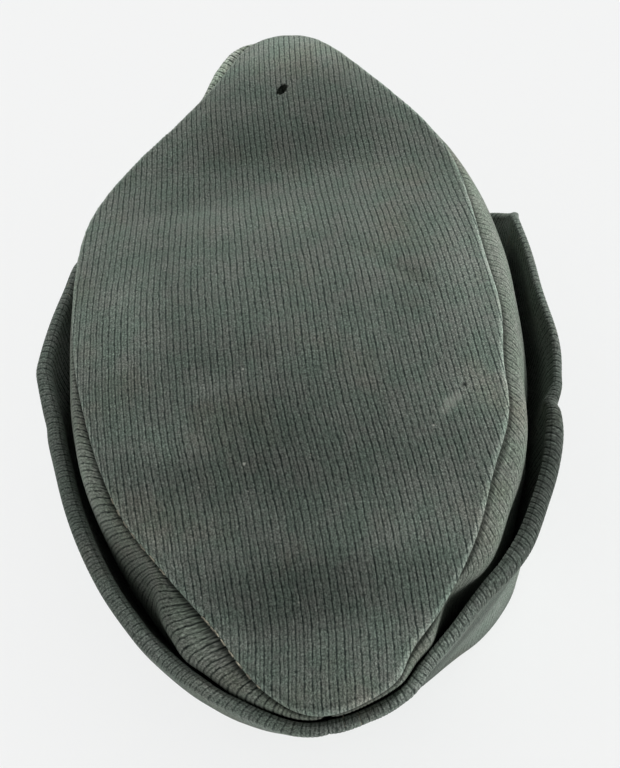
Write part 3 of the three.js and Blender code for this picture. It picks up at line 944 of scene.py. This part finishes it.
# The right wall's furrows take a lighter painted shade, so its ribs show less.
SIDE_TONES_LIGHTER_FURROWS = dict(SIDE_TONES, groove=(0.075, 0.09, 0.075, 1))
# The flap is the same cloth too, in lighter tones as painted light on it.
FLAP_TONES = {
    "rib": (0.125, 0.155, 0.13, 1),
    "rib_faded": (0.145, 0.16, 0.144, 1),
    "groove": (0.046, 0.057, 0.05, 1),
    "browned": BROWNED,
}
THREAD_TONES = {"clean": (0.46, 0.43, 0.33, 1), "soiled": (0.2, 0.19, 0.15, 1)}
PALE_LINT = (0.42, 0.43, 0.38, 1)
DARK_NICK = (0.008, 0.01, 0.009, 1)

# Broad patches of painted light and shade, lighter and darker where the lamps leave the cloth's shading
# short: middle, reach along, across and in height, turn and factor.
# On the top panel: painted light on both rims and the nose, painted shade behind the nose and over the back
# middle.
TOP_PAINTED_SHADING = (
    (62, 0, 105, 66, 26, 90, 90, 1.34),
    (-66, 10, 105, 70, 22, 90, 90, 1.34),
    (5, 60, 110, 55, 42, 90, 0, 0.72),
    (8, 100, 95, 44, 40, 90, 0, 0.76),
    (-10, -136, 105, 44, 34, 90, 0, 1.7),
    (0, -84, 105, 62, 17, 90, 0, 0.84),
    (36, -62, 105, 34, 14, 90, 10, 0.9),
    (28, 22, 115, 34, 14, 90, 0, 0.84),
    (44, 50, 110, 30, 12, 90, -10, 1.36),
    (-56, 46, 105, 24, 16, 90, 0, 1.16),
    (-8, -38, 108, 60, 16, 90, 0, 1.12),
)
# On the walls: painted light beside the nose and on the left strip, painted shade at the left back.
SIDE_PAINTED_SHADING = (
    (10, -128, 100, 40, 36, 60, 0, 2.25),
    (73, 48, 90, 34, 16, 30, 84, 1.5),
    (60, 98, 90, 36, 26, 40, -50, 0.66),
)
# On the flap: painted light on its back and down the right back's outer face, painted shade inside the right
# back's fold.
FLAP_PAINTED_SHADING = (
    (0, 130, 80, 70, 45, 60, 0, 1.3),
    (-80, 70, 86, 74, 30, 24, 62, 0.45),
    (-74, 88, 26, 66, 34, 46, 44, 3.0),
)

# Painted light and shade by the distance from the seam or fold in millimetres: from, to, and factors.
# On the top panel: a painted highlight along the rolled edge, and painted light fading inwards from it.
TOP_RIM_PAINTED_LIGHT = ((0.4, 2.0, 1.95, 1.0), (1.5, 14, 1.1, 1.0))
# On the walls: a painted shadow line just under the panel's edge, then painted shade darkening down towards
# the flap and on the inner face.
SIDE_RIM_PAINTED_SHADING = ((0.8, 3.0, 0.32, 1.0), (9, 34, 1.15, 0.45))
# On the flap: painted shade darkening down its outer face, and painted light on its inner face, growing
# deeper down.
FLAP_RIM_PAINTED_SHADING = ((4, 34, 1.08, 0.6), (90, 100, 1.0, 1.5), (101, 112, 1.0, 1.6))


def thread_material(name):
    """Dull pale khaki thread with darker turns."""
    tree = Tree(name)
    place = tree.add("TexCoord").outputs["Object"]
    soiled = tree.ease(tree.noise(place, 700.0, 3.0), 0.3, 0.7, 0.0, 1.0)
    colour = tree.mix(soiled, THREAD_TONES["clean"], THREAD_TONES["soiled"])
    tree.put(tree.shader.inputs["Base Color"], colour)
    tree.put(tree.shader.inputs["Roughness"], 0.8)
    tree.put(tree.shader.inputs["Specular IOR Level"], 0.25)
    return tree.material


def panel_mark(x, y, radius, strength, colour):
    """A small mark on the top panel, given in millimetres."""
    z = float(panel_height(np.array([float(x)]), np.array([float(y)]))[0])
    return {"at": (x * MM, y * MM, z * MM), "radius": radius * MM, "strength": strength, "colour": colour}


top_marks = (
    panel_mark(-50.5, 48.6, 3.2, 0.3, PALE_LINT),
    panel_mark(-53.6, 46.6, 2.6, 0.26, PALE_LINT),
    panel_mark(-48.6, 51.2, 2.2, 0.22, PALE_LINT),
    panel_mark(-56.8, 42.3, 1.1, 0.9, DARK_NICK),
    panel_mark(19.2, 61.2, 0.8, 0.95, PALE_LINT),
    panel_mark(16.5, 28.8, 0.7, 0.8, PALE_LINT),
    panel_mark(-44.1, 56.1, 0.6, 0.7, PALE_LINT),
)
top_wool = wool_material("top_wool_cloth", RIB["panel"], TOP_TONES, TOP_RIM_PAINTED_LIGHT, TOP_PAINTED_SHADING, top_marks)
side_wool = {
    LEFT: wool_material("side_wool_left", RIB["wall"], SIDE_TONES, SIDE_RIM_PAINTED_SHADING, SIDE_PAINTED_SHADING),
    RIGHT: wool_material("side_wool_right", RIB["wall"], SIDE_TONES_LIGHTER_FURROWS, SIDE_RIM_PAINTED_SHADING, SIDE_PAINTED_SHADING),
}
flap_wool = wool_material("flap_wool_cloth", RIB["flap"], FLAP_TONES, FLAP_RIM_PAINTED_SHADING, FLAP_PAINTED_SHADING)

cap_pieces = [make_top(top_wool)]
for side in (LEFT, RIGHT):
    cap_pieces += [make_wall(side, side_wool[side]), make_flap(side, flap_wool)]


# Loose and sewn threads: pale tacks laid on the cloth.

# The run of hand stitches that shows along the left seam: from, to and step along y, and its length.
SEAM_STITCHES = columns(
    "start stop step length",
    (64, 90, 4.2, 2.2),
    (106.5, 113.5, 3.4, 3.1),
    (114, 122, 3.6, 2.4),
    (122.5, 132, 3.3, 1.3),
)
# Long tacks at the flap's corners and at the back, from one point to another in millimetres.
TACKS = columns(
    "x y z to_x to_y to_z",
    (-93.0, -36.0, 86.7, -91.0, -37.9, 81.2),
    (-90.8, -39.7, 77.9, -90.0, -43.9, 66.3),
    (-92.7, -30.9, 86.3, -91.8, -32.6, 83.1),
    (-91.3, -34.5, 78.9, -91.4, -36.1, 74.5),
    (-91.2, -37.4, 70.9, -90.4, -41.0, 62.0),
    (87.5, -40.6, 86.2, 88.3, -38.6, 86.0),
    (89.1, -36.6, 85.9, 87.1, -33.9, 85.4),
    (-2.7, 139.1, 83.3, -3.4, 143.1, 84.9),
    (-7.6, 139.2, 83.9, -8.4, 143.4, 84.4),
)
THREAD = {"radius": 0.24, "lift": 0.16, "sides": 6, "spacing": 0.4, "sway": 0.16, "end_width": 0.55}
# How far outside the seam's line the stitches lie.
STITCH_OFFSET = {"x": 0.5, "y": 0.3}


def on_cloth(point, near):
    """The nearest point on the given pieces, lifted off by a thread's thickness, in millimetres."""
    target = Vector(point) * MM
    hits = [piece.closest_point_on_mesh(target)[1:3] for piece in near]
    place, normal = min(hits, key=lambda hit: (hit[0] - target).length)
    return np.array(place) / MM + np.array(normal) * THREAD["lift"]


def tube_round(line, radius, points, faces):
    """Adds a closed tube round a line of points, thinner at both ends."""
    sides = THREAD["sides"]
    first = len(points)
    for index, place in enumerate(line):
        ahead = line[min(index + 1, len(line) - 1)] - line[max(index - 1, 0)]
        ahead /= max(np.linalg.norm(ahead), 1e-9)
        across = np.cross(ahead, (0.3, 0.2, 0.93))
        across /= max(np.linalg.norm(across), 1e-9)
        above = np.cross(across, ahead)
        thin = radius * (THREAD["end_width"] if index in (0, len(line) - 1) else 1.0)
        for corner in range(sides):
            turn = 2 * math.pi * corner / sides
            points.append(place + thin * (math.cos(turn) * across + math.sin(turn) * above))
    for index in range(len(line) - 1):
        ring = first + index * sides
        for corner in range(sides):
            beside = (corner + 1) % sides
            faces.append((ring + corner, ring + beside, ring + sides + beside, ring + sides + corner))
    last = first + (len(line) - 1) * sides
    faces.append(tuple(range(first + sides - 1, first - 1, -1)))
    faces.append(tuple(range(last, last + sides)))


def stitch(start, end, near, draw, points, faces):
    """A thread that follows the cloth from start to end."""
    start, end = np.array(start, float), np.array(end, float)
    steps = max(3, round(np.linalg.norm(end - start) / THREAD["spacing"]))
    line = []
    for step in range(steps + 1):
        place = start + (end - start) * step / steps + draw.normal(0, THREAD["sway"], 3)
        line.append(on_cloth(place, near))
    tube_round(line, THREAD["radius"] * draw.uniform(0.8, 1.2), points, faces)


def thread_piece(name, points, faces, material):
    corner_count = sum(len(face) for face in faces)
    return new_mesh(name, points, faces, np.zeros((corner_count, 2)), material, None)


def make_threads(material, pieces):
    """The seam's stitches and the tacks, each group a piece of its own."""
    draw = np.random.default_rng(29)
    top, wall, flap, right_wall, right_flap = pieces
    points, faces = [], []
    for row in range(len(SEAM_STITCHES["start"])):
        run = {key: SEAM_STITCHES[key][row] for key in SEAM_STITCHES}
        y = run["start"]
        while y < run["stop"]:
            ends = []
            for at in (y, y + run["length"]):
                x = float(seam_at(LEFT, at, 0))
                z = float(seam_at(LEFT, at, 2))
                ends.append((x + STITCH_OFFSET["x"], at + STITCH_OFFSET["y"], z))
            stitch(ends[0], ends[1], (top, wall), draw, points, faces)
            y += run["step"] * draw.uniform(0.9, 1.15)
    made = [thread_piece("cap_seam_stitches", points, faces, material)]
    points, faces = [], []
    for row in range(len(TACKS["x"])):
        tack = [TACKS[key][row] for key in ("x", "y", "z", "to_x", "to_y", "to_z")]
        near = (flap,) if tack[0] > 0 else (right_flap, right_wall)
        stitch(tack[:3], tack[3:], near, draw, points, faces)
    made.append(thread_piece("cap_flap_tacks", points, faces, material))
    return made


cap_pieces += make_threads(thread_material("pale_thread"), cap_pieces)


# The floor, the light and the camera.


def plain_material(name, colour):
    tree = Tree(name)
    tree.put(tree.shader.inputs["Base Color"], colour)
    tree.put(tree.shader.inputs["Roughness"], 0.9)
    tree.put(tree.shader.inputs["Specular IOR Level"], 0.1)
    return tree.material


def make_floor():
    mesh = bpy.data.meshes.new("floor")
    reach, height = 6.0, -0.0002
    corners = [(x * reach, y * reach, height) for x, y in ((-1, -1), (1, -1), (1, 1), (-1, 1))]
    mesh.from_pydata(corners, [], [(0, 1, 2, 3)])
    mesh.materials.append(plain_material("pale_floor", (0.86, 0.865, 0.865, 1)))
    floor = bpy.data.objects.new("floor", mesh)
    bpy.context.scene.collection.objects.link(floor)
    return floor


def only_on(name, things):
    """A collection outside the scene that a lamp's light is kept to."""
    lit = bpy.data.collections.new(name)
    for thing in things:
        lit.objects.link(thing)
    return lit


def sun_light(name, towards, strength, angle, lit, shadows=True):
    """Parallel light that comes from a direction, soft by its angle in degrees."""
    light = bpy.data.lights.new(name, "SUN")
    light.energy = strength
    light.angle = math.radians(angle)
    light.use_shadow = shadows
    lamp = bpy.data.objects.new(name, light)
    lamp.rotation_mode = "QUATERNION"
    lamp.rotation_quaternion = Vector(towards).to_track_quat("Z", "Y")
    lamp.light_linking.receiver_collection = lit
    bpy.context.scene.collection.objects.link(lamp)


def make_world(strength):
    world = bpy.data.worlds.new("studio")
    world.use_nodes = True
    background = world.node_tree.nodes["Background"]
    background.inputs["Color"].default_value = (1, 1, 1, 1)
    background.inputs["Strength"].default_value = strength
    bpy.context.scene.world = world


CAMERA = {
    "place": (-17.9, 206.0, 393.4),
    "tilt": 31.0,
    "side": -4.22,
    "roll": -11.34,
    "focal_px": 980,
    "frame_px": 768,
}


def make_camera():
    tilt, side, roll = (math.radians(CAMERA[key]) for key in ("tilt", "side", "roll"))
    outwards = math.sin(tilt)
    back = Vector((math.sin(side) * outwards, math.cos(side) * outwards, math.cos(tilt))).normalized()
    level = Vector((0, 0, 1)).cross(back).normalized()
    upright = back.cross(level)
    right = math.cos(roll) * level + math.sin(roll) * upright
    up = math.cos(roll) * upright - math.sin(roll) * level
    lens = bpy.data.cameras.new("camera")
    lens.sensor_width = 36
    lens.lens = CAMERA["focal_px"] / CAMERA["frame_px"] * lens.sensor_width
    lens.clip_start = 0.01
    camera = bpy.data.objects.new("camera", lens)
    turn = Matrix((right, up, back)).transposed().to_4x4()
    camera.matrix_world = Matrix.Translation(Vector(CAMERA["place"]) * MM) @ turn
    bpy.context.scene.collection.objects.link(camera)
    bpy.context.scene.camera = camera


bpy.context.scene.view_settings.view_transform = "Standard"
floor = make_floor()
make_world(0.22)
cap_only = only_on("cap_only", cap_pieces)
sun_light("key", (-0.42, -0.76, 0.52), 2.7, 24, cap_only)
sun_light("side", (-0.72, 0.6, 0.34), 1.3, 36, cap_only)
sun_light("fill", (0.75, -0.3, 0.4), 0.55, 40, cap_only)
sun_light("floor_light", (0, 0, 1), 2.6, 10, only_on("floor_only", [floor]), shadows=False)
make_camera()
